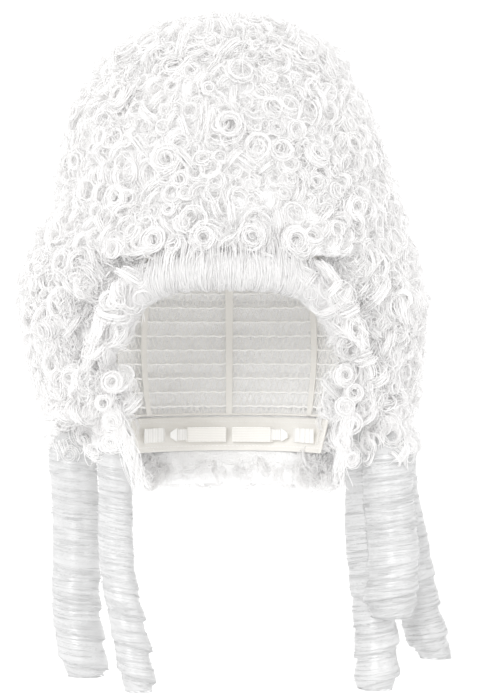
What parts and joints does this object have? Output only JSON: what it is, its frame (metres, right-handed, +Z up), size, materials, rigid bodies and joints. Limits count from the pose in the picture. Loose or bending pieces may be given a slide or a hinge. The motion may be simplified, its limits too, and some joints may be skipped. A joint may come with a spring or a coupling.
{
  "type": "costume wig",
  "caption": "Tall white court-style costume wig: a tower of small ring curls over a wire-and-net form on a stretch cap, with rolled hairline and hanging side ringlets.",
  "frame": {"origin": "centre of the flat underside of the crown pad, where the wig bears on the top of the head", "axes": "+Z up along the head, -Y the way the wearer faces, +X the wearer's left"},
  "size_m": [0.2597, 0.233, 0.4034],
  "materials": {
    "hair": "glossy synthetic fibre",
    "net": "open mesh",
    "cotton": "matt woven tape",
    "elastic": "ribbed elastic",
    "plastic": "satin",
    "foam": "felt-faced foam",
    "wire": "bright wire"
  },
  "bodies": {
    "wig": {"front_roll": "hair", "temple_curls_left": "hair", "temple_curls_right": "hair", "crown_curls": "hair", "tower_curls_1": "hair", "tower_curls_2": "hair", "tower_curls_3": "hair", "tower_curls_4": "hair", "tower_curls_5": "hair", "head_curls_upper": "hair", "head_curls_middle": "hair", "head_curls_lower": "hair", "side_curls": "hair", "back_curls": "hair", "nape_curls": "hair", "hoop_base": "wire", "hoop_lower": "wire", "hoop_upper": "wire", "hoop_top": "wire", "rib_1": "wire", "rib_2": "wire", "rib_3": "wire", "rib_4": "wire", "rib_5": "wire", "rib_6": "wire", "cap_net": "net", "tower_net": "net", "front_band": "cotton", "nape_band": "cotton", "crown_pad": "foam", "comb_front": "plastic", "comb_left": "plastic", "comb_right": "plastic", "ear_tape_left": "elastic", "adjuster_casing_left": "cotton", "adjuster_pockets_left": "elastic", "ear_tape_right": "elastic", "adjuster_casing_right": "cotton", "adjuster_pockets_right": "elastic", "ringlet_tie_right_front": "cotton", "ringlet_tie_right_middle": "cotton", "ringlet_tie_right_rear": "cotton", "ringlet_tie_left_front": "cotton", "ringlet_tie_left_middle": "cotton", "ringlet_tie_left_rear": "cotton"},
    "ringlet_right_front_body": {"ringlet_right_front": "hair"},
    "ringlet_right_middle_body": {"ringlet_right_middle": "hair"},
    "ringlet_right_rear_body": {"ringlet_right_rear": "hair"},
    "ringlet_left_front_body": {"ringlet_left_front": "hair"},
    "ringlet_left_middle_body": {"ringlet_left_middle": "hair"},
    "ringlet_left_rear_body": {"ringlet_left_rear": "hair"},
    "ear_tab_left_body": {"ear_tab_left": "cotton", "ear_tab_stay_left": "wire"},
    "adjuster_left_body": {"adjuster_strap_left": "elastic", "adjuster_hook_left": "plastic"},
    "ear_tab_right_body": {"ear_tab_right": "cotton", "ear_tab_stay_right": "wire"},
    "adjuster_right_body": {"adjuster_strap_right": "elastic", "adjuster_hook_right": "plastic"}
  },
  "joints": [
    {"name": "ringlet_right_front_swing", "type": "hinge", "parent": "wig", "child": "ringlet_right_front_body", "pos_m": [-0.0666, -0.06, -0.131], "axis": [0, 1, 0], "range_deg": [-6, 35], "stiffness_Nm_per_rad": 0.01},
    {"name": "ringlet_right_middle_swing", "type": "hinge", "parent": "wig", "child": "ringlet_right_middle_body", "pos_m": [-0.092, -0.009, -0.131], "axis": [0, 1, 0], "range_deg": [-6, 35], "stiffness_Nm_per_rad": 0.01},
    {"name": "ringlet_right_rear_swing", "type": "hinge", "parent": "wig", "child": "ringlet_right_rear_body", "pos_m": [-0.093, 0.026, -0.131], "axis": [0, 1, 0], "range_deg": [-6, 35], "stiffness_Nm_per_rad": 0.01},
    {"name": "ringlet_left_front_swing", "type": "hinge", "parent": "wig", "child": "ringlet_left_front_body", "pos_m": [0.0928, -0.05, -0.131], "axis": [0, -1, 0], "range_deg": [-6, 35], "stiffness_Nm_per_rad": 0.01},
    {"name": "ringlet_left_middle_swing", "type": "hinge", "parent": "wig", "child": "ringlet_left_middle_body", "pos_m": [0.0795, -0.021, -0.131], "axis": [0, -1, 0], "range_deg": [-6, 35], "stiffness_Nm_per_rad": 0.01},
    {"name": "ringlet_left_rear_swing", "type": "hinge", "parent": "wig", "child": "ringlet_left_rear_body", "pos_m": [0.101, 0.026, -0.131], "axis": [0, -1, 0], "range_deg": [-6, 35], "stiffness_Nm_per_rad": 0.01},
    {"name": "ear_tab_left_flex", "type": "hinge", "parent": "wig", "child": "ear_tab_left_body", "pos_m": [0.06816, -0.04199, -0.0765], "axis": [0.3602, 0.9329, 0], "range_deg": [0, 22], "stiffness_Nm_per_rad": 0.02},
    {"name": "ear_tab_right_flex", "type": "hinge", "parent": "wig", "child": "ear_tab_right_body", "pos_m": [-0.06816, -0.04199, -0.0765], "axis": [0.3602, -0.9329, 0], "range_deg": [0, 22], "stiffness_Nm_per_rad": 0.02},
    {"name": "adjuster_left_travel", "type": "hinge", "parent": "wig", "child": "adjuster_left_body", "pos_m": [0, 0.0248, -0.1415], "axis": [0, 0, -1], "range_deg": [0, 14], "stiffness_Nm_per_rad": 0.01},
    {"name": "adjuster_right_travel", "type": "hinge", "parent": "wig", "child": "adjuster_right_body", "pos_m": [0, 0.0248, -0.1415], "axis": [0, 0, 1], "range_deg": [0, 14], "stiffness_Nm_per_rad": 0.01}
  ]
}
